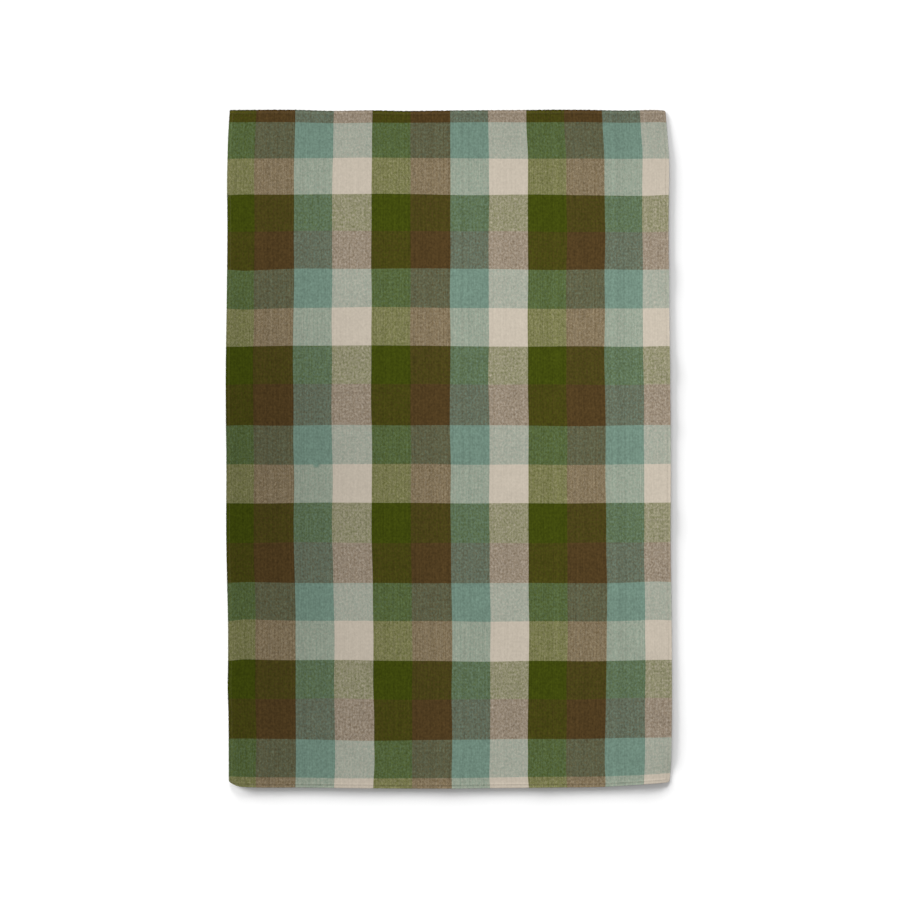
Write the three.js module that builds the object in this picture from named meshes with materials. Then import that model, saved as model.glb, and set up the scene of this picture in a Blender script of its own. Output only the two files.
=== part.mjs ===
// A rectangular woven tablecloth lying flat on a level surface, one closed sheet with a turned hem all round.
// Millimetres, +Z up. X runs across the cloth, +Y towards its top end.
// The origin is the middle of the underside, on the surface that the cloth lies on.
import * as THREE from 'three';

// Finished size of the cloth, hem included
const WIDTH = 1500;
const LENGTH = 2300;

// Single cloth and the hem, which is the cloth turned under twice
const CLOTH_THICKNESS = 1.2;
const HEM_THICKNESS = 2.7;
const HEM_WIDTH = 14;
const HEM_SLOPE = 4; // run over which the top falls from the hem to the single cloth
const FOLD_ROUND = 1.6; // run of the rounded fold at the very edge
const FOLD_DROP = 0.7; // how far that round drops the top, and raises the underside

// How far in from an edge the cloth begins to rise off the surface
const LIFT_REACH = 280;

// Wander of each edge as the cloth lies: a row for each bend.
// at: distance from the left or top end of that edge.
// out: offset from the straight edge, outwards. lift: height of the edge above the surface.
const LEFT_EDGE = [
  { at: 0, out: -8, lift: 1.0 },
  { at: 100, out: -2, lift: 0.4 },
  { at: 240, out: 1, lift: 0.0 },
  { at: 410, out: 0, lift: 1.4 },
  { at: 650, out: 2.5, lift: 0.3 },
  { at: 920, out: 6, lift: 0.0 },
  { at: 1190, out: 3.5, lift: 1.2 },
  { at: 1460, out: 4, lift: 0.2 },
  { at: 1730, out: -2, lift: 1.6 },
  { at: 1865, out: -4, lift: 0.6 },
  { at: 2000, out: -2, lift: 0.2 },
  { at: 2140, out: -4, lift: 0.9 },
  { at: 2300, out: -9, lift: 2.5 },
];
const RIGHT_EDGE = [
  { at: 0, out: -15, lift: 1.5 },
  { at: 70, out: -10, lift: 4.5 },
  { at: 170, out: -3.5, lift: 7.5 },
  { at: 375, out: -5, lift: 8.5 },
  { at: 645, out: -3, lift: 7.5 },
  { at: 920, out: 0, lift: 9.5 },
  { at: 1190, out: 2.5, lift: 8.0 },
  { at: 1460, out: 1.5, lift: 9.0 },
  { at: 1730, out: 5, lift: 7.5 },
  { at: 2000, out: 6, lift: 9.0 },
  { at: 2200, out: 4, lift: 7.0 },
  { at: 2300, out: -1, lift: 4.0 },
];
const TOP_EDGE = [
  { at: 0, out: -1, lift: 0.8 },
  { at: 210, out: 0, lift: 0.0 },
  { at: 350, out: -4, lift: 1.2 },
  { at: 490, out: -2, lift: 0.3 },
  { at: 620, out: -4.5, lift: 1.4 },
  { at: 760, out: -2.5, lift: 0.4 },
  { at: 960, out: -1, lift: 0.0 },
  { at: 1200, out: 0, lift: 0.6 },
  { at: 1360, out: -3, lift: 1.3 },
  { at: 1450, out: -1, lift: 0.5 },
  { at: 1500, out: -3, lift: 0.0 },
];
const BOTTOM_EDGE = [
  { at: 0, out: -22, lift: 4.0 },
  { at: 38, out: -6, lift: 7.0 },
  { at: 110, out: -3.5, lift: 9.5 },
  { at: 250, out: -3.5, lift: 9.0 },
  { at: 420, out: -1.5, lift: 10.5 },
  { at: 590, out: 0, lift: 9.5 },
  { at: 760, out: 0, lift: 10.5 },
  { at: 930, out: -1.5, lift: 9.5 },
  { at: 1100, out: -3.5, lift: 10.0 },
  { at: 1260, out: -5, lift: 9.0 },
  { at: 1365, out: -11, lift: 11.0 },
  { at: 1435, out: -16, lift: 10.5 },
  { at: 1500, out: -20, lift: 6.0 },
];

// Lines of the sheet's mesh: insets from every edge, close together over the hem, and even ones between
const EDGE_INSETS = [0, FOLD_ROUND, 6, HEM_WIDTH, HEM_WIDTH + HEM_SLOPE, 42, 90, 150, 215, LIFT_REACH];
const FIELD_COLUMNS = 14;
const FIELD_ROWS = 24;

// Value of one column of an edge's table at a distance along it, on a smooth curve through the rows.
function alongEdge(rows, column, at) {
  const last = rows.length - 1;
  const place = rows.findIndex((row, i) => i > 0 && (at <= row.at || i === last));
  const slopeAt = (i) => {
    const before = rows[Math.max(i - 1, 0)];
    const after = rows[Math.min(i + 1, last)];
    return (after[column] - before[column]) / (after.at - before.at);
  };
  const start = rows[place - 1];
  const end = rows[place];
  const run = end.at - start.at;
  const t = (at - start.at) / run;
  return (
    start[column] * (1 + 2 * t) * (1 - t) ** 2 +
    end[column] * t ** 2 * (3 - 2 * t) +
    slopeAt(place - 1) * run * t * (1 - t) ** 2 -
    slopeAt(place) * run * t ** 2 * (1 - t)
  );
}

// Distances of the mesh lines across a span, from one edge to the other.
function meshLines(span, fieldCount) {
  const field = span - 2 * LIFT_REACH;
  const middle = [];
  for (let i = 1; i < fieldCount; i++) middle.push(LIFT_REACH + (field * i) / fieldCount);
  const farSide = EDGE_INSETS.map((inset) => span - inset).reverse();
  return [...EDGE_INSETS, ...middle, ...farSide];
}

// Height of the underside above the surface: each edge rises in a shallow curve, and corners rise with both.
function liftAt(fromLeft, fromTop) {
  const edges = [
    { rows: LEFT_EDGE, at: fromTop, inset: fromLeft },
    { rows: RIGHT_EDGE, at: fromTop, inset: WIDTH - fromLeft },
    { rows: TOP_EDGE, at: fromLeft, inset: fromTop },
    { rows: BOTTOM_EDGE, at: fromLeft, inset: LENGTH - fromTop },
  ];
  let height = 0;
  for (const edge of edges) {
    const share = Math.max(0, 1 - edge.inset / LIFT_REACH);
    height += Math.max(0, alongEdge(edge.rows, 'lift', edge.at)) * share ** 2;
  }
  return height;
}

// Cloth thickness at a distance from the nearest edge.
function thicknessAt(inset) {
  const fall = THREE.MathUtils.clamp((inset - HEM_WIDTH) / HEM_SLOPE, 0, 1);
  return THREE.MathUtils.lerp(HEM_THICKNESS, CLOTH_THICKNESS, fall);
}

// Top and underside points of the sheet at a place on the flat cloth.
function sheetPoint(fromLeft, fromTop) {
  const left = -WIDTH / 2 - alongEdge(LEFT_EDGE, 'out', fromTop);
  const right = WIDTH / 2 + alongEdge(RIGHT_EDGE, 'out', fromTop);
  const top = LENGTH / 2 + alongEdge(TOP_EDGE, 'out', fromLeft);
  const bottom = -LENGTH / 2 - alongEdge(BOTTOM_EDGE, 'out', fromLeft);
  const x = THREE.MathUtils.lerp(left, right, fromLeft / WIDTH);
  const y = THREE.MathUtils.lerp(top, bottom, fromTop / LENGTH);
  const inset = Math.min(fromLeft, WIDTH - fromLeft, fromTop, LENGTH - fromTop);
  const drop = FOLD_DROP * Math.max(0, 1 - inset / FOLD_ROUND);
  const under = liftAt(fromLeft, fromTop);
  return {
    top: [x, y, under + thicknessAt(inset) - drop],
    under: [x, y, under + drop],
  };
}

// The closed sheet: a grid of top points, the same grid of underside points, and the folded edge between them.
function sheetGeometry() {
  const columns = meshLines(WIDTH, FIELD_COLUMNS);
  const rows = meshLines(LENGTH, FIELD_ROWS);
  const tops = [];
  const unders = [];
  for (const fromTop of rows) {
    for (const fromLeft of columns) {
      const point = sheetPoint(fromLeft, fromTop);
      tops.push(...point.top);
      unders.push(...point.under);
    }
  }
  const across = columns.length;
  const underStart = across * rows.length;
  const index = [];
  const quad = (a, b, c, d) => index.push(a, b, c, a, c, d);

  for (let r = 0; r < rows.length - 1; r++) {
    for (let c = 0; c < across - 1; c++) {
      const corner = r * across + c;
      const below = corner + across;
      quad(corner, below, below + 1, corner + 1);
      quad(underStart + corner, underStart + corner + 1, underStart + below + 1, underStart + below);
    }
  }
  const lastRow = (rows.length - 1) * across;
  for (let c = 0; c < across - 1; c++) {
    quad(c, c + 1, underStart + c + 1, underStart + c);
    quad(lastRow + c + 1, lastRow + c, underStart + lastRow + c, underStart + lastRow + c + 1);
  }
  for (let r = 0; r < rows.length - 1; r++) {
    const start = r * across;
    const next = start + across;
    quad(next, start, underStart + start, underStart + next);
    quad(start + across - 1, next + across - 1, underStart + next + across - 1, underStart + start + across - 1);
  }

  const geometry = new THREE.BufferGeometry();
  geometry.setAttribute('position', new THREE.Float32BufferAttribute([...tops, ...unders], 3));
  geometry.setIndex(index);
  geometry.computeVertexNormals();
  return geometry;
}

// Mean colour of the woven check: green, brown, blue-green and ecru cotton
const clothMaterial = new THREE.MeshStandardMaterial({
  color: new THREE.Color(0x7c7d62),
  roughness: 0.92,
  metalness: 0,
});

const tablecloth = new THREE.Mesh(sheetGeometry(), clothMaterial);
tablecloth.name = 'tablecloth';

const part = new THREE.Group();
part.add(tablecloth);

export default part;
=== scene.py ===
"""A checked cotton tablecloth laid flat on a pale floor and seen from straight above.

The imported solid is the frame. Its sheet is replaced by a finer one on nearly the same edges and rises,
with a turned hem, and the hem's stitching is added.
Lengths in the tables are millimetres. Everything in the scene is in metres.
"""
import math
from collections import namedtuple

import bpy
import numpy as np
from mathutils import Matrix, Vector


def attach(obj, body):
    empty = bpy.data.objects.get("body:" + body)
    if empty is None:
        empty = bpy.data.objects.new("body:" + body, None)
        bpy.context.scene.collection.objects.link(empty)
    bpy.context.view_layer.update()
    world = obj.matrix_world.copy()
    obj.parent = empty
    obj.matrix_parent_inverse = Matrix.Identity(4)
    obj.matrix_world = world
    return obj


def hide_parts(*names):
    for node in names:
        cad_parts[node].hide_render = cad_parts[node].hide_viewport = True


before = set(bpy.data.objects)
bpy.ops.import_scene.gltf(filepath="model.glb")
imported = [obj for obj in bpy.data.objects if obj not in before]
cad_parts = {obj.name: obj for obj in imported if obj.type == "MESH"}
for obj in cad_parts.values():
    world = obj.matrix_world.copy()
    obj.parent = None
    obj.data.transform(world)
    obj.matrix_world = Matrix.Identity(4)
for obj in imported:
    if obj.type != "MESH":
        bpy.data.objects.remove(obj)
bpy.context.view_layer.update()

bl_info = {
    "name": "Checked tablecloth",
    "version": (1, 0, 0),
    "blender": (4, 5, 0),
    "location": "View3D > Sidebar > Tablecloth",
    "description": "Lays a hemmed, yarn-dyed tablecloth and its stage around the packed solid",
    "category": "Object",
}

MM = 0.001
CLOTH_NODE = "tablecloth"
SHEET_PIECE = "tablecloth_sheet"
STITCH_PIECE = "hem_stitching"
# UV maps: places on the flat cloth, the face and back fitted on one square for baking, and the run of the
# sewing thread
FLAT_MAP = "cloth_flat"
BAKE_MAP = "OFBake"
THREAD_MAP = "thread_run"

# The four sides in the order that the rings of the hem run, clockwise from the top left corner.
# out: the way out of the cloth, across and up the picture.
Side = namedtuple("Side", "name out")
SIDES = (Side("top", (0, 1)), Side("right", (1, 0)), Side("bottom", (0, -1)), Side("left", (-1, 0)))

# How each edge lies. at: distance from its left or top end. out: offset outwards. lift: rise off the floor.
EdgeBend = namedtuple("EdgeBend", "at out lift")
LEFT_EDGE = (
    EdgeBend(0, -8, 1.0),
    EdgeBend(100, -2, 0.4),
    EdgeBend(240, 1, 0.0),
    EdgeBend(410, 0, 1.4),
    EdgeBend(650, 2.5, 0.3),
    EdgeBend(920, 6, 0.0),
    EdgeBend(1190, 3.5, 1.2),
    EdgeBend(1460, 4, 0.2),
    EdgeBend(1730, -2, 1.6),
    EdgeBend(1865, -2.2, 0.6),
    EdgeBend(1960, -0.8, 0.2),
    EdgeBend(2065, -3.8, 0.4),
    EdgeBend(2170, -4.6, 1.2),
    EdgeBend(2300, -5.5, 2.5),
)
RIGHT_EDGE = (
    EdgeBend(0, -15, 0.4),
    EdgeBend(70, -10, 5.0),
    EdgeBend(170, -3.5, 9.0),
    EdgeBend(375, -5, 9.0),
    EdgeBend(645, -3, 8.5),
    EdgeBend(920, 0, 10.5),
    EdgeBend(1190, 2.5, 9.0),
    EdgeBend(1460, 1.5, 9.5),
    EdgeBend(1730, 5, 8.0),
    EdgeBend(2000, 6, 9.5),
    EdgeBend(2170, 4.5, 9.5),
    EdgeBend(2220, 3.5, 6.5),
    EdgeBend(2255, 2, 2.0),
    EdgeBend(2300, -1, 0.2),
)
TOP_EDGE = (
    EdgeBend(0, -1, 0.8),
    EdgeBend(210, 0, 0.0),
    EdgeBend(350, -4, 1.2),
    EdgeBend(490, -2, 0.3),
    EdgeBend(620, -4.5, 1.4),
    EdgeBend(760, -2.5, 0.4),
    EdgeBend(960, -1, 0.0),
    EdgeBend(1200, 0, 0.6),
    EdgeBend(1360, -3, 1.3),
    EdgeBend(1450, -1, 0.5),
    EdgeBend(1500, -3, 0.0),
)
BOTTOM_EDGE = (
    EdgeBend(0, -7, 5.5),
    EdgeBend(38, -6, 10.0),
    EdgeBend(110, -3.5, 10.5),
    EdgeBend(250, -3.5, 10.5),
    EdgeBend(420, -1.5, 11.5),
    EdgeBend(590, 0, 10.5),
    EdgeBend(760, 0, 11.0),
    EdgeBend(930, -1.5, 10.0),
    EdgeBend(1100, -3.5, 11.0),
    EdgeBend(1260, -5, 10.0),
    EdgeBend(1365, -11, 11.5),
    EdgeBend(1435, -16, 12.5),
    EdgeBend(1468, -18, 9.0),
    EdgeBend(1500, -20, 0.2),
)
# Corners that were turned round when they were hemmed. from_left and from_top say which corner, as shares
# of the cloth. across and along: how far from the corner the round begins on its two edges.
CornerRound = namedtuple("CornerRound", "from_left from_top across along")
CORNER_ROUNDS = (
    CornerRound(0, 1, 52, 24),
    CornerRound(1, 1, 8, 8),
    CornerRound(1, 0, 6, 6),
    CornerRound(0, 0, 3, 3),
)
LIFT_REACH = 280  # how far in from an edge the cloth begins to rise
EDGE_CARRY = 0.4  # share of a top or bottom edge's offset that carries along the whole cloth
EDGE_REACH = 260  # run over which the rest of that offset dies away

# The weave isn't quite straight. Bows are places where it is drawn to the right or towards the top end.
# Drifts are small waves all over.
WeaveBow = namedtuple("WeaveBow", "from_left from_top reach_across reach_along right up")
WEAVE_BOWS = (
    WeaveBow(530, 560, 380, 900, 0, 5.8),
    WeaveBow(1450, 330, 120, 120, 0, -3),
    WeaveBow(230, 1830, 330, 170, 0, 4),
    WeaveBow(480, 2170, 260, 120, 0, -4.5),
    WeaveBow(1050, 2260, 300, 60, 0, 3),
    WeaveBow(1175, 410, 160, 200, 4, 0),
    WeaveBow(1060, 2200, 260, 420, -6.4, 0),
    WeaveBow(480, 40, 330, 70, 0, -4.2),
    WeaveBow(40, 610, 90, 130, 0, -6),
    WeaveBow(300, 1900, 130, 600, 2.2, 0),
    WeaveBow(1230, 1530, 150, 120, 2.8, 0),
    WeaveBow(1290, 2120, 90, 160, -3, 0),
    WeaveBow(1350, 230, 110, 70, -3, 0),
    WeaveBow(420, 420, 110, 140, -3.3, 0),
    WeaveBow(1280, 440, 60, 100, 2.2, 0),
    WeaveBow(1280, 1650, 60, 250, 1.6, 0),
    WeaveBow(950, 2285, 120, 40, -6, 0),
    WeaveBow(485, 2200, 70, 60, 3.2, 0),
    WeaveBow(750, 1130, 60, 110, -3, 0),
    WeaveBow(40, 1790, 90, 130, 0, 3.6),
    WeaveBow(1460, 1650, 80, 180, 0, 2.8),
)
DRIFT_SIZE = 0.8
DRIFT_RUNS = (160, 520)
DRIFT_WAVES = 8
DRIFT_CALM = 60  # bows and drifts die away over this run before an edge

# Section of the hem, from the outer fold inwards: the face, then the back.
# Heights are from the hem's own back.
HemPoint = namedtuple("HemPoint", "inset height")
OUTER_FOLD = HemPoint(0.0, 1.35)
HEM_FACE = (
    HemPoint(0.3, 2.0),
    HemPoint(0.9, 2.45),
    HemPoint(2.0, 2.7),
    HemPoint(5.5, 2.75),
    HemPoint(9.6, 2.7),
    HemPoint(10.7, 2.58),
    HemPoint(11.5, 2.45),
    HemPoint(12.3, 2.52),
    HemPoint(13.2, 2.5),
    HemPoint(14.2, 2.25),
    HemPoint(15.4, 1.8),
    HemPoint(16.8, 1.4),
    HemPoint(18.8, 1.22),
    HemPoint(22.0, 1.2),
)
HEM_BACK = (
    HemPoint(0.3, 0.7),
    HemPoint(0.9, 0.25),
    HemPoint(2.0, 0.0),
    HemPoint(9.6, 0.0),
    HemPoint(11.5, 0.7),
    HemPoint(13.2, 0.0),
    HemPoint(14.2, 0.15),
    HemPoint(14.8, 0.75),
    HemPoint(15.8, 0.2),
    HemPoint(18.5, 0.0),
    HemPoint(22.0, 0.0),
)
STITCH_INSET = 11.5
HEM_REACH = HEM_FACE[-1].inset

# Small ripples that the stitching draws into the hem, as sideways scallops of each edge and as heights
RIPPLE_RUNS = (14.0, 17.5, 24.0)
RIPPLE_HEIGHT = 0.35
SCALLOP = {"top": 0.9, "right": 0.25, "bottom": 0.35, "left": 0.25}
CORNER_CALM = 25  # ripples die away over this run before a corner

# Low swells in the flat part, where the cloth doesn't quite touch the floor
SWELL_HEIGHT = 1.1
SWELL_CAP = 1.5  # most that the summed waves count for
SWELL_RUNS = (130, 420)
SWELL_WAVES = 14
CLOTH_SEED = 23

# Mesh of the sheet: fine steps round the hem, and one coarse step in the middle for every few fine ones
FINE_ACROSS = 352
FINE_ALONG = 536
FINE_PER_COARSE = 4
RING_STEPS = 2 * (FINE_ACROSS + FINE_ALONG)
FIELD_COLUMNS = FINE_ACROSS // FINE_PER_COARSE
FIELD_ROWS = FINE_ALONG // FINE_PER_COARSE

# Colour bands in weaving order: the repeat of their yarns, and the number of yarns in each band
Bands = namedtuple("Bands", "repeat counts")
WARP_BANDS = Bands(
    ("green", "brown", "blue_green", "ecru"),
    (66, 96, 94, 95, 94, 97, 93, 94, 93, 93, 93, 63),
)
WEFT_BANDS = Bands(
    ("brown", "blue_green", "ecru", "green"),
    (30, 89, 88, 89, 92, 94, 92, 93, 99, 94, 94, 96, 97, 93, 96, 92, 97, 93, 25),
)
# How strongly each yarn's own colour varies along its length
YARN_HEATHER = {"green": 1.0, "brown": 1.02, "blue_green": 0.78, "ecru": 0.3}
# Painted light and shade along the hem: the inset at which a side is painted paler, as a highlight where the
# hem meets the light, or darker, at the top's outer edge and as painted shade along the bottom's stitch
# line, its reach and how strong it is
PaintedHemLight = namedtuple("PaintedHemLight", "side middle reach gain")
PAINTED_HEM_LIGHT = (
    PaintedHemLight("left", 11, 5.5, 0.1),
    PaintedHemLight("top", 0.5, 3.5, -0.2),
    PaintedHemLight("top", 8, 5, 0.14),
    PaintedHemLight("bottom", 3, 4.5, 0.16),
    PaintedHemLight("bottom", 9.5, 3, -0.13),
    PaintedHemLight("right", 3, 4, 0.08),
)
# A short slip in the weaving, where blue-green weft strays over the next band
SLIP_YARN = "blue_green"
SLIP_PLACE = (303, 1203)
SLIP_REACH = (15, 16)
SLIP_COVER = 1.6  # how fully it covers: past 1 its middle is all stray weft
EYE_GAMMA = 2.2  # yarns blend by eye, so the mix is made on values of this gamma


class ClothSettings(bpy.types.PropertyGroup):
    """Sizes and colours of the cloth and its sewing."""

    width: bpy.props.FloatProperty(
        name="Width", description="Finished width, hem included", default=1.5, unit="LENGTH")
    length: bpy.props.FloatProperty(
        name="Length", description="Finished length, hem included", default=2.3, unit="LENGTH")
    yarn_pitch: bpy.props.FloatProperty(
        name="Yarn pitch", description="Distance from one yarn to the next", default=0.0014,
        precision=5, unit="LENGTH")
    warp_share: bpy.props.FloatProperty(
        name="Warp share", description="Share of the face that warp yarns cover", default=0.587,
        subtype="FACTOR")
    thread_contrast: bpy.props.FloatProperty(
        name="Thread contrast", description="How far single yarns stand out from their blend", default=0.25,
        subtype="FACTOR")
    stitch_pitch: bpy.props.FloatProperty(
        name="Stitch pitch", description="Distance from one stitch to the next", default=0.004,
        precision=4, unit="LENGTH")
    stitch_length: bpy.props.FloatProperty(
        name="Stitch length", description="Length of a stitch that shows", default=0.0032,
        precision=4, unit="LENGTH")
    thread_radius: bpy.props.FloatProperty(
        name="Thread radius", description="Radius of the sewing thread", default=0.0003,
        precision=5, unit="LENGTH")
    green: bpy.props.FloatVectorProperty(
        name="Green yarn", description="Colour of the green yarn", default=(0.0523, 0.0683, 0.0040),
        subtype="COLOR", min=0, max=1)
    brown: bpy.props.FloatVectorProperty(
        name="Brown yarn", description="Colour of the brown yarn", default=(0.0813, 0.0479, 0.0150),
        subtype="COLOR", min=0, max=1)
    blue_green: bpy.props.FloatVectorProperty(
        name="Blue-green yarn", description="Colour of the blue-green yarn",
        default=(0.1653, 0.2605, 0.2067), subtype="COLOR", min=0, max=1)
    ecru: bpy.props.FloatVectorProperty(
        name="Ecru yarn", description="Colour of the ecru yarn", default=(0.5666, 0.5014, 0.4126),
        subtype="COLOR", min=0, max=1)
    sewing_thread: bpy.props.FloatVectorProperty(
        name="Sewing thread", description="Colour of the hem's thread", default=(0.17, 0.145, 0.09),
        subtype="COLOR", min=0, max=1)


class StageSettings(bpy.types.PropertyGroup):
    """Floor, light and camera."""

    floor_side: bpy.props.FloatProperty(
        name="Floor side", description="Side of the square floor", default=120.0, unit="LENGTH")
    frame_width: bpy.props.FloatProperty(
        name="Frame width", description="Width of floor that the picture takes in", default=3.0520,
        unit="LENGTH")
    frame_centre: bpy.props.FloatVectorProperty(
        name="Frame centre", description="Floor point at the picture's middle", default=(0.0047, -0.0037),
        size=2, unit="LENGTH")
    lens: bpy.props.FloatProperty(
        name="Lens", description="Focal length of the camera", default=85.0, unit="CAMERA")
    dome: bpy.props.FloatProperty(
        name="Dome", description="Strength of the even light from all round", default=0.41)
    floor_light: bpy.props.FloatProperty(
        name="Floor light", description="Strength of the lights that whiten the floor", default=1.0)
    cloth_light: bpy.props.FloatProperty(
        name="Cloth light", description="Strength of the lamps on the cloth", default=1.0)


class TableclothSettings(bpy.types.PropertyGroup):
    """All that a user may change."""

    cloth: bpy.props.PointerProperty(type=ClothSettings)
    stage: bpy.props.PointerProperty(type=StageSettings)


def settings():
    return bpy.context.scene.tablecloth


def deselect_all():
    bpy.ops.object.select_all(action="DESELECT")


# Shape of the sheet


def along_edge(bends, column, at):
    """A column of an edge's table at distances along it, on a smooth curve through the rows."""
    stations = np.array([bend.at for bend in bends], float)
    values = np.array([getattr(bend, column) for bend in bends], float)
    order = np.arange(len(bends))
    before = np.maximum(order - 1, 0)
    after = np.minimum(order + 1, len(bends) - 1)
    slopes = (values[after] - values[before]) / (stations[after] - stations[before])
    place = np.clip(np.searchsorted(stations, at) - 1, 0, len(bends) - 2)
    run = stations[place + 1] - stations[place]
    t = (at - stations[place]) / run
    return (
        values[place] * (1 + 2 * t) * (1 - t) ** 2
        + values[place + 1] * t ** 2 * (3 - 2 * t)
        + slopes[place] * run * t * (1 - t) ** 2
        - slopes[place + 1] * run * t ** 2 * (1 - t)
    )


class SheetForm:
    """Where each place of the flat cloth lies on the floor, in millimetres."""

    def __init__(self, cloth):
        self.width = cloth.width / MM
        self.length = cloth.length / MM
        chance = np.random.default_rng(CLOTH_SEED)
        self.swells = self.draw_waves(chance, SWELL_RUNS, SWELL_WAVES)
        self.ripple_starts = chance.uniform(0, math.tau, (len(SIDES), len(RIPPLE_RUNS)))
        self.drifts = [self.draw_waves(chance, DRIFT_RUNS, DRIFT_WAVES) for axis in "xy"]

    @staticmethod
    def draw_waves(chance, runs, count):
        """Plane waves of random length, direction and start."""
        lengths = chance.uniform(*runs, count)
        turns = chance.uniform(0, math.tau, count)
        starts = chance.uniform(0, math.tau, count)
        return np.stack([math.tau / lengths * np.cos(turns), math.tau / lengths * np.sin(turns), starts])

    @staticmethod
    def wave_sum(waves, from_left, from_top):
        """Sum of plane waves at places on the cloth, about one high."""
        phase = np.multiply.outer(from_left, waves[0]) + np.multiply.outer(from_top, waves[1]) + waves[2]
        return np.sin(phase).sum(axis=-1) / math.sqrt(waves.shape[1] / 2)

    def span(self, side):
        """Length of one side of the flat cloth."""
        return self.width if SIDES[side].out[0] == 0 else self.length

    def carry(self, inset):
        """Share of an end's offset that is left at a distance from that end."""
        near = np.maximum(0, 1 - inset / EDGE_REACH) ** 2
        return EDGE_CARRY * (1 - inset / self.length) + (1 - EDGE_CARRY) * near

    def plan(self, from_left, from_top):
        """Across and along places on the floor, as the edges draw the cloth in or let it out."""
        left = along_edge(LEFT_EDGE, "out", from_top)
        right = along_edge(RIGHT_EDGE, "out", from_top)
        top = along_edge(TOP_EDGE, "out", from_left)
        bottom = along_edge(BOTTOM_EDGE, "out", from_left)
        across = from_left / self.width
        from_right = self.width - from_left
        from_bottom = self.length - from_top
        x = from_left - self.width / 2 + right * across - left * (1 - across)
        y = self.length / 2 - from_top + top * self.carry(from_top) - bottom * self.carry(from_bottom)
        inset = np.minimum(np.minimum(from_left, from_right), np.minimum(from_top, from_bottom))
        free = np.clip(inset / DRIFT_CALM, 0, 1)
        x = x + DRIFT_SIZE * self.wave_sum(self.drifts[0], from_left, from_top) * free
        y = y + DRIFT_SIZE * self.wave_sum(self.drifts[1], from_left, from_top) * free
        for bow in WEAVE_BOWS:
            off_across = (from_left - bow.from_left) / bow.reach_across
            off_along = (from_top - bow.from_top) / bow.reach_along
            pull = np.exp(-off_across ** 2 - off_along ** 2) * free
            x = x + bow.right * pull
            y = y + bow.up * pull
        for corner in CORNER_ROUNDS:
            right, up = self.round_corner(corner, from_left, from_top)
            x = x + right
            y = y + up
        return x, y

    def round_corner(self, corner, from_left, from_top):
        """How far right and up places near a corner move as it is drawn into a quarter of an ellipse."""
        across = np.clip(1 - np.abs(from_left - corner.from_left * self.width) / corner.across, 0, 1)
        along = np.clip(1 - np.abs(from_top - corner.from_top * self.length) / corner.along, 0, 1)
        right = corner.across * across * (1 - np.sqrt(1 - along ** 2 / 2))
        up = corner.along * along * (1 - np.sqrt(1 - across ** 2 / 2))
        return right * (1 - 2 * corner.from_left), up * (2 * corner.from_top - 1)

    def lift(self, from_left, from_top):
        """Height of the cloth's back off the floor: the risen edges and the low swells between them."""
        edges = (
            (LEFT_EDGE, from_top, from_left),
            (RIGHT_EDGE, from_top, self.width - from_left),
            (TOP_EDGE, from_left, from_top),
            (BOTTOM_EDGE, from_left, self.length - from_top),
        )
        height = 0
        for bends, at, inset in edges:
            share = np.maximum(0, 1 - inset / LIFT_REACH)
            height = height + np.maximum(0, along_edge(bends, "lift", at)) * share ** 2
        swell = self.wave_sum(self.swells, from_left, from_top)
        return height + SWELL_HEIGHT * np.clip(swell, 0, SWELL_CAP) ** 2

    def ripple(self, side, at):
        """The hem's small ripples along one side, dying away at its corners."""
        starts = self.ripple_starts[side]
        wave = sum(np.sin(math.tau * at / run + start) for run, start in zip(RIPPLE_RUNS, starts))
        calm = np.clip(np.minimum(at, self.span(side) - at) / CORNER_CALM, 0, 1)
        return wave / len(RIPPLE_RUNS) * calm


def side_places(form, side, inset, share):
    """Places along one side at an inset, at shares of its run: from left, from top and along its edge."""
    across = inset + (form.width - 2 * inset) * share
    along = inset + (form.length - 2 * inset) * share
    steady = np.full_like(share, inset)
    if SIDES[side].name == "top":
        return across, steady, across
    if SIDES[side].name == "right":
        return form.width - steady, along, along
    if SIDES[side].name == "bottom":
        return form.width - across, form.length - steady, form.width - across
    return steady, form.length - along, form.length - along


def hem_points(form, side, inset, share, height):
    """Points of the hem along one side, and their places on the flat cloth."""
    from_left, from_top, at = side_places(form, side, inset, share)
    x, y = form.plan(from_left, from_top)
    ripple = form.ripple(side, at) * max(0.0, 1 - inset / HEM_REACH)
    push = ripple * SCALLOP[SIDES[side].name]
    z = form.lift(from_left, from_top) + height + ripple * RIPPLE_HEIGHT
    points = np.stack([x + SIDES[side].out[0] * push, y + SIDES[side].out[1] * push, z], axis=-1)
    return points, np.stack([from_left, from_top], axis=-1)


def hem_ring(form, hem_point):
    """One closed ring of the hem, clockwise from the top left corner."""
    points, flats = [], []
    for side in range(len(SIDES)):
        steps = FINE_ACROSS if SIDES[side].out[0] == 0 else FINE_ALONG
        share = np.arange(steps) / steps
        ring, flat = hem_points(form, side, hem_point.inset, share, hem_point.height)
        points.append(ring)
        flats.append(flat)
    return np.concatenate(points), np.concatenate(flats)


def field_points(form, height):
    """Points of the coarse grid inside the hem, without the row that lies on the hem's last ring."""
    across = HEM_REACH + (form.width - 2 * HEM_REACH) * np.arange(1, FIELD_COLUMNS) / FIELD_COLUMNS
    along = HEM_REACH + (form.length - 2 * HEM_REACH) * np.arange(1, FIELD_ROWS) / FIELD_ROWS
    from_left, from_top = (grid.ravel() for grid in np.meshgrid(across, along))
    x, y = form.plan(from_left, from_top)
    z = form.lift(from_left, from_top) + height
    return np.stack([x, y, z], axis=-1), np.stack([from_left, from_top], axis=-1)


def ring_faces(outer, inner):
    """Quads between two rings, facing up."""
    here = np.arange(RING_STEPS)
    following = (here + 1) % RING_STEPS
    return np.stack([outer + here, inner + here, inner + following, outer + following], axis=-1).tolist()


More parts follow.
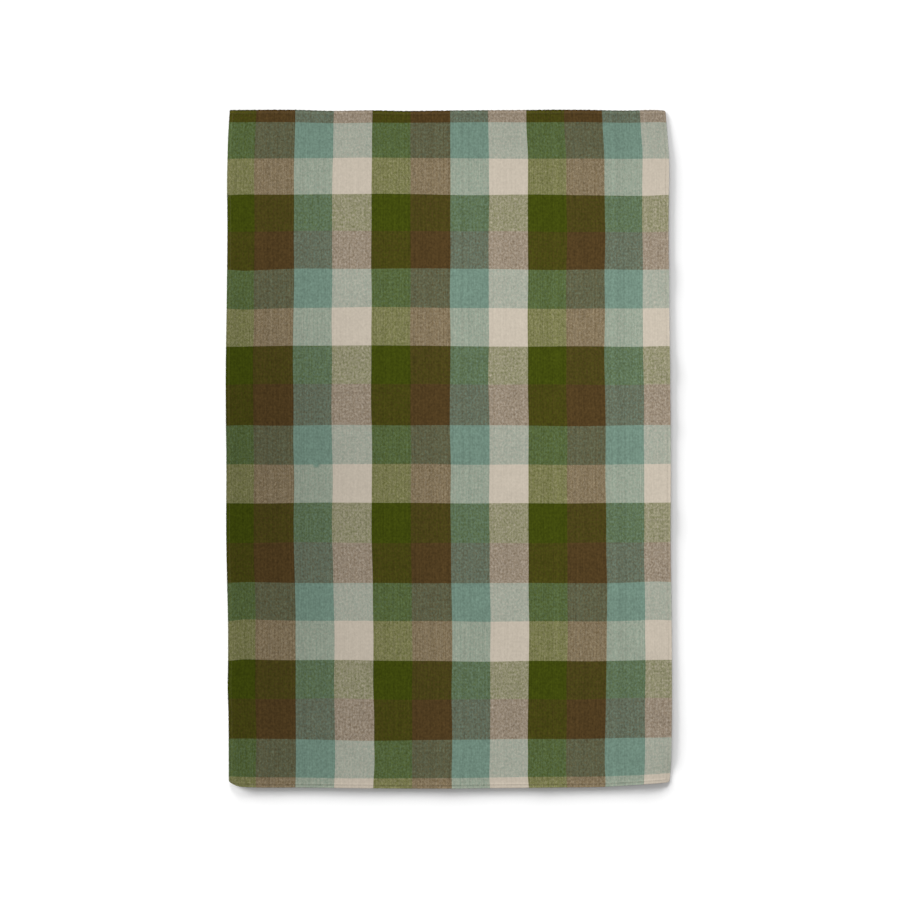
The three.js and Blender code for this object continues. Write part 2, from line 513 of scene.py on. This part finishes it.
def field_faces(ring, field):
    """Faces of the coarse grid, facing up. Those at its rim take in the hem ring's finer points."""

    def rim_step(column, row, at_end):
        """Step of the ring at a rim point. The ring's first corner is its start, or its end if asked."""
        if row == 0 and not (column == 0 and at_end):
            return column * FINE_PER_COARSE
        if column == FIELD_COLUMNS and row < FIELD_ROWS:
            return FINE_ACROSS + row * FINE_PER_COARSE
        if row == FIELD_ROWS and column > 0:
            return FINE_ACROSS + FINE_ALONG + (FIELD_COLUMNS - column) * FINE_PER_COARSE
        return 2 * FINE_ACROSS + FINE_ALONG + (FIELD_ROWS - row) * FINE_PER_COARSE

    def point(column, row):
        if 0 < column < FIELD_COLUMNS and 0 < row < FIELD_ROWS:
            return field + (row - 1) * (FIELD_COLUMNS - 1) + column - 1
        return ring + rim_step(column, row, False) % RING_STEPS

    def rim_run(start):
        """Ring points between a rim point and the next, in the order that the face runs."""
        first = rim_step(*start, True)
        return [ring + step % RING_STEPS for step in range(first - 1, first - FINE_PER_COARSE, -1)]

    faces = []
    for row in range(FIELD_ROWS):
        for column in range(FIELD_COLUMNS):
            top_left, bottom_left = (column, row), (column, row + 1)
            bottom_right, top_right = (column + 1, row + 1), (column + 1, row)
            face = []
            for corner, on_rim in (
                (top_left, column == 0),
                (bottom_left, row == FIELD_ROWS - 1),
                (bottom_right, column == FIELD_COLUMNS - 1),
                (top_right, row == 0),
            ):
                face.append(point(*corner))
                if on_rim:
                    face += rim_run(corner)
            faces.append(face)
    return faces


def sheet_side(form, section, first_index):
    """Points, flat places and faces of one side of the sheet, inside the outer fold, which has index 0."""
    points, flats, faces = [], [], []
    outer = 0
    index = first_index
    for hem_point in section:
        ring, flat = hem_ring(form, hem_point)
        points.append(ring)
        flats.append(flat)
        faces += ring_faces(outer, index)
        outer = index
        index += RING_STEPS
    field, flat = field_points(form, section[-1].height)
    points.append(field)
    flats.append(flat)
    faces += field_faces(outer, index)
    return np.concatenate(points), np.concatenate(flats), faces


def make_mesh_object(name, points, faces):
    """A new object from points in millimetres, smooth shaded."""
    mesh = bpy.data.meshes.new(name)
    mesh.from_pydata((np.asarray(points) * MM).tolist(), [], faces)
    mesh.validate()
    mesh.polygons.foreach_set("use_smooth", np.ones(len(mesh.polygons), bool))
    piece = bpy.data.objects.new(name, mesh)
    bpy.context.collection.objects.link(piece)
    return piece


def add_map(mesh, name, places):
    """A UV map with one place for each corner of the mesh."""
    layer = mesh.uv_layers.new(name=name)
    layer.data.foreach_set("uv", np.ascontiguousarray(places, np.float32).ravel())


def corner_points(mesh):
    corners = np.empty(len(mesh.loops), np.int32)
    mesh.loops.foreach_get("vertex_index", corners)
    return corners


def bake_places(form, flats, on_face):
    """Flat places fitted on one square: the face large, and the back smaller beside it."""
    margin = 0.01
    face_scale = (1 - 2 * margin) / form.length
    back_left = 2 * margin + form.width * face_scale
    back_scale = (1 - margin - back_left) / form.width
    scale = np.where(on_face, face_scale, back_scale)[:, None]
    start = np.where(on_face, margin, back_left)
    return np.stack([start, np.full_like(start, margin)], axis=-1) + flats * scale


def make_sheet(cloth):
    """The closed sheet: its face, its back and the outer fold of the hem between them."""
    form = SheetForm(cloth)
    fold, fold_flats = hem_ring(form, OUTER_FOLD)
    face_points, face_flats, face_faces = sheet_side(form, HEM_FACE, len(fold))
    back_points, back_flats, back_faces = sheet_side(form, HEM_BACK, len(fold) + len(face_points))
    points = np.concatenate([fold, face_points, back_points])
    flats = np.concatenate([fold_flats, face_flats, back_flats])
    points[:, 2] = np.maximum(points[:, 2], 0)
    sheet = make_mesh_object(SHEET_PIECE, points, face_faces + [face[::-1] for face in back_faces])
    corners = corner_points(sheet.data)
    face_corner_count = sum(len(face) for face in face_faces)
    on_face = np.arange(len(corners)) < face_corner_count
    add_map(sheet.data, FLAT_MAP, flats[corners] * MM)
    add_map(sheet.data, BAKE_MAP, bake_places(form, flats[corners], on_face))
    return sheet


# Stitching of the hem

STITCH_STATIONS = 5
STITCH_SIDES = 5
STITCH_ARCH = 0.3  # rise of a stitch's middle over its ends
STITCH_END = 0.6  # thickness of its ends, as a share of its middle
STITCH_SINK = 0.18  # depth of its ends in the cloth
STITCH_SLANT = 0.12  # most that a stitch's ends stray from the line
STITCH_CLEARANCE = 0.02  # least height of a stitch over the floor
STITCH_SEED = 41


def stitch_run(form, cloth, side, section, up, chance):
    """Points of all the stitches along one side, on the face (up 1) or on the back (up -1)."""
    height = next(point.height for point in section if point.inset == STITCH_INSET)
    run = form.span(side) - 2 * STITCH_INSET
    count = int(run // (cloth.stitch_pitch / MM))
    stations = np.linspace(-0.5, 0.5, STITCH_STATIONS)
    middles = (np.arange(count) + 0.5) / count
    share = (middles[:, None] + stations * cloth.stitch_length / MM / run).ravel()
    line, _ = hem_points(form, side, STITCH_INSET, np.clip(share, 0, 1), height)
    line = line.reshape(count, STITCH_STATIONS, 3)
    off_middle = 2 * stations
    line[..., 2] += up * (STITCH_ARCH * (1 - off_middle ** 2) - STITCH_SINK)
    out = np.array([*SIDES[side].out, 0.0])
    slant = chance.uniform(-STITCH_SLANT, STITCH_SLANT, (count, 1)) * off_middle
    line += slant[..., None] * out
    turns = math.tau * np.arange(STITCH_SIDES) / STITCH_SIDES
    thickness = cloth.thread_radius / MM * np.sqrt(1 - (1 - STITCH_END ** 2) * off_middle ** 2)
    ring = np.cos(turns)[:, None] * out + np.sin(turns)[:, None] * np.array([0.0, 0.0, 1.0])
    return line[:, :, None, :] + thickness[:, None, None] * ring


def stitch_faces(count):
    """Faces of a number of stitches, each a closed tube."""
    per_stitch = STITCH_STATIONS * STITCH_SIDES
    tube = []
    for station in range(STITCH_STATIONS - 1):
        for side in range(STITCH_SIDES):
            near = station * STITCH_SIDES
            far = near + STITCH_SIDES
            following = (side + 1) % STITCH_SIDES
            tube.append([near + side, near + following, far + following, far + side])
    caps = [list(range(STITCH_SIDES))[::-1], list(range(per_stitch - STITCH_SIDES, per_stitch))]
    return [[start + corner for corner in face] for start in range(0, count * per_stitch, per_stitch)
            for face in tube + caps]


def make_stitching(cloth):
    """The hem's line of stitches, on the face and on the back."""
    form = SheetForm(cloth)
    chance = np.random.default_rng(STITCH_SEED)
    runs = [
        stitch_run(form, cloth, side, section, up, chance)
        for up, section in ((1, HEM_FACE), (-1, HEM_BACK))
        for side in range(len(SIDES))
    ]
    stitches = np.concatenate(runs)
    points = stitches.reshape(-1, 3)
    points[:, 2] = np.maximum(points[:, 2], STITCH_CLEARANCE)
    stitching = make_mesh_object(STITCH_PIECE, points, stitch_faces(len(stitches)))
    deselect_all()
    stitching.select_set(True)
    bpy.context.view_layer.objects.active = stitching
    bpy.ops.object.mode_set(mode="EDIT")
    bpy.ops.mesh.select_all(action="SELECT")
    bpy.ops.mesh.normals_make_consistent(inside=False)
    bpy.ops.object.mode_set(mode="OBJECT")
    along = np.arange(STITCH_STATIONS) / (STITCH_STATIONS - 1)
    around = np.arange(STITCH_SIDES) / STITCH_SIDES
    one_stitch = np.stack(np.meshgrid(along, around, indexing="ij"), axis=-1).reshape(-1, 2)
    run_places = np.tile(one_stitch, (len(stitches), 1))
    run_places[:, 0] += np.repeat(np.arange(len(stitches)), len(one_stitch))
    add_map(stitching.data, THREAD_MAP, run_places[corner_points(stitching.data)])
    return stitching


# Materials

NOISE_MIDDLE = 0.5  # noise and random values run from 0 to 1 about this


class Nodes:
    """Adds nodes to one material or node group and joins them."""

    def __init__(self, tree):
        self.tree = tree

    def add(self, kind, **values):
        node = self.tree.nodes.new(kind)
        for name, value in values.items():
            setattr(node, name, value)
        return node

    def put(self, socket, value):
        """Joins an output to an input, or sets the input's own value."""
        if isinstance(value, bpy.types.NodeSocket):
            self.tree.links.new(value, socket)
        else:
            socket.default_value = value

    def filled(self, node, *values):
        """A node's outputs, once its first inputs are joined or set."""
        for socket, value in zip(node.inputs, values):
            self.put(socket, value)
        return node.outputs

    def maths(self, operation, *values):
        return self.filled(self.add("ShaderNodeMath", operation=operation), *values)[0]

    def plus(self, first, second):
        return self.maths("ADD", first, second)

    def minus(self, first, second):
        return self.maths("SUBTRACT", first, second)

    def times(self, first, second):
        return self.maths("MULTIPLY", first, second)

    def above_zero(self, value):
        return self.maths("MAXIMUM", value, 0.0)

    def vector_maths(self, operation, *values, output="Vector"):
        return self.filled(self.add("ShaderNodeVectorMath", operation=operation), *values)[output]

    def scaled(self, vector, factor):
        node = self.add("ShaderNodeVectorMath", operation="SCALE")
        self.put(node.inputs["Vector"], vector)
        self.put(node.inputs["Scale"], factor)
        return node.outputs["Vector"]

    def mix(self, kind, share, first, second, **values):
        """A mix of two values of one kind. The mix node has a set of sockets for each kind."""
        node = self.add("ShaderNodeMix", clamp_factor=True, **values)
        inputs = {socket.identifier: socket for socket in node.inputs}
        outputs = {socket.identifier: socket for socket in node.outputs}
        self.put(inputs["Factor_Vector" if kind == "Vector" else "Factor_Float"], share)
        self.put(inputs["A_" + kind], first)
        self.put(inputs["B_" + kind], second)
        return outputs["Result_" + kind]

    def blend(self, share, first, second):
        """A mix of two colours."""
        return self.mix("Color", share, first, second, data_type="RGBA")

    def channel_blend(self, shares, first, second):
        """A mix of two colours with its own share for each channel."""
        return self.mix("Vector", shares, first, second, data_type="VECTOR", factor_mode="NON_UNIFORM")

    def vector(self, x, y, z=0.0):
        return self.filled(self.add("ShaderNodeCombineXYZ"), x, y, z)[0]

    def parts(self, vector):
        """The x, y and z of a vector."""
        return self.filled(self.add("ShaderNodeSeparateXYZ"), vector)

    def noise(self, place, detail=2.0):
        node = self.add("ShaderNodeTexNoise")
        self.put(node.inputs["Vector"], place)
        node.inputs["Scale"].default_value = 1.0
        node.inputs["Detail"].default_value = detail
        return node

    def chance(self, number):
        """An even random value for each whole number."""
        node = self.add("ShaderNodeTexWhiteNoise", noise_dimensions="1D")
        self.put(node.inputs["W"], number)
        return node.outputs["Value"]


def new_group(name, inputs, outputs):
    group = bpy.data.node_groups.new(name, "ShaderNodeTree")
    for socket_name, socket_type in inputs:
        group.interface.new_socket(name=socket_name, in_out="INPUT", socket_type=socket_type)
    for socket_name, socket_type in outputs:
        group.interface.new_socket(name=socket_name, in_out="OUTPUT", socket_type=socket_type)
    nodes = Nodes(group)
    return nodes, nodes.add("NodeGroupInput").outputs, nodes.add("NodeGroupOutput").inputs


def plain_weave_group():
    """One yarn over, one under.

    Gives each yarn's place, which one shows, the face's height, and how yarns differ in shade and width.
    """
    value, vector = "NodeSocketFloat", "NodeSocketVector"
    nodes, given, result = new_group(
        "plain_weave",
        [("Flat Place", vector), ("Pitch", value), ("Wander", value), ("Warp Lead", value)],
        [("Warp Place", value), ("Weft Place", value), ("Warp Shows", value), ("Height", value),
         ("Warp Shade", value), ("Weft Shade", value), ("Warp Width", value)],
    )
    half_yarn, half_height = 0.5, 0.5
    wander_fineness = 55.0
    flat = nodes.parts(given["Flat Place"])
    drift = nodes.noise(nodes.scaled(given["Flat Place"], wander_fineness))
    drifts = nodes.filled(nodes.add("ShaderNodeSeparateColor"), drift.outputs["Color"])
    yarns = []
    for axis in (0, 1):
        stray = nodes.times(nodes.minus(drifts[axis], NOISE_MIDDLE), given["Wander"])
        place = nodes.maths("DIVIDE", nodes.plus(flat[axis], stray), given["Pitch"])
        number = nodes.maths("FLOOR", place)
        off_middle = nodes.minus(nodes.minus(place, number), half_yarn)
        crown = nodes.maths("COSINE", nodes.times(off_middle, math.pi))
        yarns.append((number, crown))
    (warp, warp_crown), (weft, weft_crown) = yarns
    odd = nodes.maths("MODULO", nodes.plus(warp, weft), 2.0)
    over = nodes.minus(half_height, odd)
    warp_rise = nodes.times(warp_crown, nodes.plus(half_height, nodes.times(over, weft_crown)))
    weft_rise = nodes.times(weft_crown, nodes.minus(half_height, nodes.times(over, warp_crown)))
    warp_leads = nodes.maths("GREATER_THAN", nodes.plus(warp_rise, given["Warp Lead"]), weft_rise)
    nodes.put(result["Warp Shows"], warp_leads)
    nodes.put(result["Height"], nodes.maths("MAXIMUM", warp_rise, weft_rise))
    for number, place_name in ((warp, "Warp Place"), (weft, "Weft Place")):
        nodes.put(result[place_name], nodes.times(nodes.plus(number, half_yarn), given["Pitch"]))

    # Slubs vary along a yarn, and each whole yarn differs too. The offsets keep the draws apart.
    slub_fineness, yarn_step, whole_yarn_share = 28.0, 1.73, 0.5
    for number, along, uneven_name, offset in (
        (warp, flat[1], "Warp Shade", 0.0),
        (weft, flat[0], "Weft Shade", 4000.0),
        (warp, flat[1], "Warp Width", 9000.0),
    ):
        place = nodes.vector(nodes.times(number, yarn_step), nodes.times(along, slub_fineness), offset)
        slub = nodes.minus(nodes.noise(place).outputs[0], NOISE_MIDDLE)
        whole_yarn = nodes.minus(nodes.chance(nodes.plus(number, offset)), NOISE_MIDDLE)
        nodes.put(result[uneven_name], nodes.plus(slub, nodes.times(whole_yarn, whole_yarn_share)))
    return nodes.tree


def spun_fibre_group():
    """Uneven fibre in a spun yarn or thread. Each offset gives another draw of it."""
    nodes, given, result = new_group(
        "spun_fibre",
        [("Place", "NodeSocketVector"), ("Fineness", "NodeSocketFloat"), ("Offset", "NodeSocketFloat")],
        [("Grain", "NodeSocketFloat")],
    )
    scaled = nodes.scaled(given["Place"], given["Fineness"])
    moved = nodes.vector_maths("ADD", scaled, nodes.vector(0.0, 0.0, given["Offset"]))
    fibre = nodes.noise(moved, detail=3.0)
    nodes.put(result["Grain"], nodes.minus(fibre.outputs[0], NOISE_MIDDLE))
    return nodes.tree


def new_material(name, roughness):
    """A material with only its shader and output, and the matt finish of spun cotton."""
    material = bpy.data.materials.new(name)
    material.use_nodes = True
    nodes = Nodes(material.node_tree)
    shader = nodes.tree.nodes["Principled BSDF"]
    shader.inputs["Roughness"].default_value = roughness
    shader.inputs["Specular IOR Level"].default_value = 0.03
    return material, nodes, shader


def add_relief(nodes, shader, height, strength, distance):
    """Relief too fine for the mesh, as bump."""
    relief = nodes.add("ShaderNodeBump")
    relief.inputs["Strength"].default_value = strength
    relief.inputs["Distance"].default_value = distance
    nodes.put(relief.inputs["Height"], height)
    nodes.put(shader.inputs["Normal"], relief.outputs[0])


def place_group(nodes, group, **values):
    """A node group placed in a material, with its inputs set by name."""
    node = nodes.add("ShaderNodeGroup", node_tree=group)
    for name, value in values.items():
        nodes.put(node.inputs[name.replace("_", " ").title()], value)
    return node.outputs


def eye_values(colour):
    return [channel ** (1 / EYE_GAMMA) for channel in colour]


def band_colours(nodes, cloth, bands, place):
    """Colour of a yarn from its place among the bands. Alpha holds how heathered it is."""
    band_count = len(bands.counts)
    passed = 0.5  # half a band, so that the ramp is read in the middle of each
    edge = 0.0
    for count in bands.counts[:-1]:
        edge += count * cloth.yarn_pitch
        passed = nodes.plus(nodes.maths("GREATER_THAN", place, edge), passed)
    ramp = nodes.add("ShaderNodeValToRGB")
    ramp.color_ramp.interpolation = "CONSTANT"
    stops = ramp.color_ramp.elements
    ready = len(stops)
    for number in range(band_count):
        yarn = bands.repeat[number % len(bands.repeat)]
        position = number / band_count
        stop = stops[number] if number < ready else stops.new(position)
        stop.position = position
        stop.color = (*eye_values(getattr(cloth, yarn)), YARN_HEATHER[yarn])
    nodes.put(ramp.inputs[0], nodes.maths("DIVIDE", passed, band_count))
    return ramp.outputs["Color"], ramp.outputs["Alpha"]


def painted_hem_light(nodes, cloth, flat, patches):
    """Painted highlight and shade along the hem: how much paler or darker it is painted than the rest, in
    uneven patches.
    """
    place = nodes.parts(flat)
    insets = {
        "left": place[0],
        "right": nodes.minus(cloth.width, place[0]),
        "top": place[1],
        "bottom": nodes.minus(cloth.length, place[1]),
    }
    painted_light = 0.0
    for painted_band in PAINTED_HEM_LIGHT:
        off = nodes.maths("ABSOLUTE", nodes.minus(insets[painted_band.side], painted_band.middle * MM))
        near = nodes.above_zero(nodes.minus(1.0, nodes.maths("DIVIDE", off, painted_band.reach * MM)))
        painted_light = nodes.plus(nodes.times(near, painted_band.gain), painted_light)
    patchiness = 2.0
    return nodes.times(painted_light, nodes.plus(1.0, nodes.times(patches, patchiness)))


def weft_slip(nodes, flat):
    """Where the slip in the weaving shows, from 0 to 1."""
    off = nodes.vector_maths("SUBTRACT", flat, (SLIP_PLACE[0] * MM, SLIP_PLACE[1] * MM, 0))
    reached = nodes.vector_maths("DIVIDE", off, (SLIP_REACH[0] * MM, SLIP_REACH[1] * MM, 1))
    away = nodes.vector_maths("LENGTH", reached, output="Value")
    return nodes.above_zero(nodes.minus(1.0, away))


def checked_cotton(cloth):
    """Plain weave of four yarn colours in bands, both ways."""
    gap_roughness, crown_polish = 0.97, 0.12
    material, nodes, shader = new_material("checked_cotton", roughness=gap_roughness)
    flat = nodes.add("ShaderNodeUVMap", uv_map=FLAT_MAP).outputs[0]
    weave = place_group(nodes, plain_weave_group(), flat_place=flat, pitch=cloth.yarn_pitch,
                        wander=0.0007, warp_lead=0.15)
    warp, warp_heather = band_colours(nodes, cloth, WARP_BANDS, weave["Warp Place"])
    weft, weft_heather = band_colours(nodes, cloth, WEFT_BANDS, weave["Weft Place"])
    slip = nodes.times(weft_slip(nodes, flat), SLIP_COVER)
    weft = nodes.blend(slip, weft, (*eye_values(getattr(cloth, SLIP_YARN)), 1))

    # Uneven yarn shows as a fine mottle, a little longer along the warp, in cover and in tone
    mottle_stretch, mottle_fineness, patch_fineness = (1.12, 0.9, 1.0), 140.0, 60.0
    stretched = nodes.vector_maths("MULTIPLY", flat, mottle_stretch)
    fibre = spun_fibre_group()
    cover, speck = (
        place_group(nodes, fibre, place=stretched, fineness=mottle_fineness, offset=offset)["Grain"]
        for offset in (0.0, 5.3)
    )
    patches = place_group(nodes, fibre, place=flat, fineness=patch_fineness, offset=9.1)["Grain"]

    # Pale weft is thicker, so it lies more evenly. Warp yarns differ in thickness, which shows as streaks.
    least_sway, heather_sway, streak_cover, blue_cover = 0.7, 0.36, 0.25, 0.03
    unevenness = nodes.times(nodes.maths("POWER", weft_heather, 2.0), heather_sway)
    share = nodes.plus(cloth.warp_share, nodes.times(cover, nodes.plus(least_sway, unevenness)))
    share = nodes.plus(share, nodes.times(weave["Warp Width"], streak_cover))
    shares = nodes.vector(share, share, nodes.plus(share, blue_cover))
    single = nodes.blend(weave["Warp Shows"], weft, warp)
    seen = nodes.blend(cloth.thread_contrast, nodes.channel_blend(shares, weft, warp), single)

    speck_sway, warp_sway, weft_sway = 0.5, 0.19, 0.05
    heather = nodes.plus(
        nodes.times(warp_heather, cloth.warp_share), nodes.times(weft_heather, 1 - cloth.warp_share))
    shade = nodes.times(nodes.times(speck, speck_sway), heather)
    for yarn_shade, yarn_heather, sway in (
        (weave["Warp Shade"], warp_heather, warp_sway),
        (weave["Weft Shade"], weft_heather, weft_sway),
    ):
        shade = nodes.plus(shade, nodes.times(nodes.times(yarn_shade, sway), yarn_heather))
    # Painted light and shade along the hem, weaker on pale yarn
    shade = nodes.plus(shade, nodes.times(painted_hem_light(nodes, cloth, flat, patches), heather))
    dyed = nodes.add("ShaderNodeGamma")
    dyed.inputs["Gamma"].default_value = EYE_GAMMA
    nodes.put(dyed.inputs["Color"], nodes.scaled(seen, nodes.plus(1.0, shade)))
    nodes.put(shader.inputs["Base Color"], dyed.outputs[0])

    # Crowns of the yarns are smoothed by use, and the gaps between them stay rough
    polish = nodes.times(weave["Height"], crown_polish)
    nodes.put(shader.inputs["Roughness"], nodes.minus(gap_roughness, polish))
    add_relief(nodes, shader, weave["Height"], strength=0.3, distance=0.0003)
    return material


def hem_thread(cloth):
    """Two-ply sewing thread, with painted shade in the grooves of its twist as slanting stripes."""
    turns_per_stitch, ply_painted_shade, fibre_shade = 5.0, 0.12, 0.5
    material, nodes, shader = new_material("hem_thread", roughness=0.8)
    run = nodes.add("ShaderNodeUVMap", uv_map=THREAD_MAP).outputs[0]
    grain = place_group(nodes, bpy.data.node_groups["spun_fibre"], place=run, fineness=9.0)["Grain"]
    along, around, _ = nodes.parts(run)
    turn = nodes.plus(nodes.times(along, turns_per_stitch), around)
    ply = nodes.maths("SINE", nodes.times(turn, math.tau))
    # The ply stripes are painted shade in the twist's grooves; the fibre grain is the thread's own uneven
    # tone
    unevenness = nodes.plus(nodes.times(ply, ply_painted_shade), nodes.times(grain, fibre_shade))
    colour = nodes.scaled(cloth.sewing_thread, nodes.plus(1.0, unevenness))
    nodes.put(shader.inputs["Base Color"], colour)
    add_relief(nodes, shader, ply, strength=0.4, distance=0.0001)
    return material


def pale_floor():
    """Smooth white floor with the faintest unevenness."""
    whiteness, unevenness = 0.95, 0.01
    material, nodes, shader = new_material("pale_floor", roughness=0.95)
    place = nodes.add("ShaderNodeTexCoord").outputs["Object"]
    grain = place_group(nodes, bpy.data.node_groups["spun_fibre"], place=place, fineness=3.0)["Grain"]
    white = nodes.plus(whiteness, nodes.times(grain, unevenness))
    nodes.put(shader.inputs["Base Color"], nodes.vector(white, white, white))
    shader.inputs["Specular IOR Level"].default_value = 0.0
    return material


# Stage

# Low lights that whiten the floor and throw the cloth's shadow on it.
# Angles are in degrees, and side is counted from the right hand.
FloorLight = namedtuple("FloorLight", "name height side spread strength")
FLOOR_LIGHTS = (
    FloorLight("floor_light_left", 9.2, 147, 36, 8.4),
    FloorLight("floor_light_top", 13.7, 94, 29, 3.8),
)
# Soft lamps on the cloth, brightest at its upper right: places in metres, cone in degrees, power in watts
ClothLamp = namedtuple("ClothLamp", "name place aim cone power")
CLOTH_LAMPS = (
    ClothLamp("cloth_lamp_far", (0.59, 4.0, 5.0), (1.28, -2.0, 0.0), 54.1, 1510),
    ClothLamp("cloth_lamp_near", (-1.26, 1.01, 2.32), (-0.62, 1.81, 0.0), 91.3, 136),
)
LAMP_RADIUS = 0.25
SUN_PLACE = (-2, 3, 3)  # only where the suns are drawn, as they light alike from anywhere
SENSOR_WIDTH = 36  # of the camera, in millimetres


def shine_on(light, pieces):
    """Lets a light reach only some pieces. All pieces still throw its shadow."""
    lit = bpy.data.collections.new("lit_by_" + light.name)
    for piece in pieces:
        lit.objects.link(piece)
    light.light_linking.receiver_collection = lit


def add_floor_light(light, strength, floor):
    bpy.ops.object.light_add(
        type="SUN", location=SUN_PLACE,
        rotation=(0, math.pi / 2 - math.radians(light.height), math.radians(light.side)))
    sun = bpy.context.object
    sun.name = light.name
    sun.data.energy = light.strength * strength
    sun.data.angle = math.radians(light.spread)
    shine_on(sun, [floor])


def add_cloth_lamp(lamp, strength, pieces):
    way = Vector(lamp.aim) - Vector(lamp.place)
    turn = way.to_track_quat("-Z", "Y").to_euler()
    bpy.ops.object.light_add(type="SPOT", location=lamp.place, rotation=turn)
    spot = bpy.context.object
    spot.name = lamp.name
    spot.data.energy = lamp.power * strength
    spot.data.spot_size = math.radians(lamp.cone)
    spot.data.spot_blend = 1.0
    spot.data.shadow_soft_size = LAMP_RADIUS
    shine_on(spot, pieces)


class TABLECLOTH_OT_lay_cloth(bpy.types.Operator):
    """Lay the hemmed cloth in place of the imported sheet"""

    bl_idname = "tablecloth.lay_cloth"
    bl_label = "Lay the cloth"

    def execute(self, context):
        cloth = settings().cloth
        sheet = make_sheet(cloth)
        sheet.data.materials.append(checked_cotton(cloth))
        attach(sheet, "root")
        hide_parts(CLOTH_NODE)
        return {"FINISHED"}


class TABLECLOTH_OT_sew_hem(bpy.types.Operator):
    """Sew the line of stitches that holds the hem"""

    bl_idname = "tablecloth.sew_hem"
    bl_label = "Sew the hem"

    def execute(self, context):
        cloth = settings().cloth
        stitching = make_stitching(cloth)
        stitching.data.materials.append(hem_thread(cloth))
        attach(stitching, "root")
        return {"FINISHED"}


class TABLECLOTH_OT_set_stage(bpy.types.Operator):
    """Set the floor, the lights and the camera"""

    bl_idname = "tablecloth.set_stage"
    bl_label = "Set the stage"

    def execute(self, context):
        stage = settings().stage
        deselect_all()
        floor_drop = 0.0003
        bpy.ops.mesh.primitive_grid_add(x_subdivisions=8, y_subdivisions=8, size=stage.floor_side,
                                        location=(0, 0, -floor_drop))
        floor = context.object
        floor.name = "floor"
        floor.data.materials.append(pale_floor())

        world = bpy.data.worlds.new("even_dome")
        world.use_nodes = True
        nodes = Nodes(world.node_tree)
        background = nodes.tree.nodes["Background"]
        background.inputs["Color"].default_value = (1, 1, 1, 1)
        # Past the end of the floor the dome looks as white as the floor
        looked_at = nodes.add("ShaderNodeLightPath").outputs["Is Camera Ray"]
        nodes.put(background.inputs["Strength"], nodes.maths("MAXIMUM", looked_at, stage.dome))
        context.scene.world = world

        for light in FLOOR_LIGHTS:
            add_floor_light(light, stage.floor_light, floor)
        pieces = [bpy.data.objects[name] for name in (SHEET_PIECE, STITCH_PIECE)]
        for lamp in CLOTH_LAMPS:
            add_cloth_lamp(lamp, stage.cloth_light, pieces)

        height = stage.frame_width * stage.lens / SENSOR_WIDTH
        bpy.ops.object.camera_add(location=(*stage.frame_centre, height), rotation=(0, 0, 0))
        camera = context.object
        camera.name = "camera"
        camera.data.lens = stage.lens
        camera.data.sensor_width = SENSOR_WIDTH
        context.scene.camera = camera
        context.scene.view_settings.view_transform = "Standard"
        return {"FINISHED"}


class TABLECLOTH_PT_panel(bpy.types.Panel):
    """Steps and settings of the tablecloth"""

    bl_idname = "TABLECLOTH_PT_panel"
    bl_label = "Tablecloth"
    bl_space_type = "VIEW_3D"
    bl_region_type = "UI"
    bl_category = "Tablecloth"

    def draw(self, context):
        for step in STEPS:
            self.layout.operator(step.bl_idname)
        for group in (settings().cloth, settings().stage):
            box = self.layout.box()
            for name in group.__annotations__:
                box.prop(group, name)


STEPS = (TABLECLOTH_OT_lay_cloth, TABLECLOTH_OT_sew_hem, TABLECLOTH_OT_set_stage)
CLASSES = (ClothSettings, StageSettings, TableclothSettings, *STEPS, TABLECLOTH_PT_panel)


def register():
    for cls in CLASSES:
        bpy.utils.register_class(cls)
    bpy.types.Scene.tablecloth = bpy.props.PointerProperty(type=TableclothSettings)


def unregister():
    del bpy.types.Scene.tablecloth
    for cls in reversed(CLASSES):
        bpy.utils.unregister_class(cls)


def main():
    register()
    bpy.ops.tablecloth.lay_cloth()
    bpy.ops.tablecloth.sew_hem()
    bpy.ops.tablecloth.set_stage()


if __name__ == "__main__":
    main()
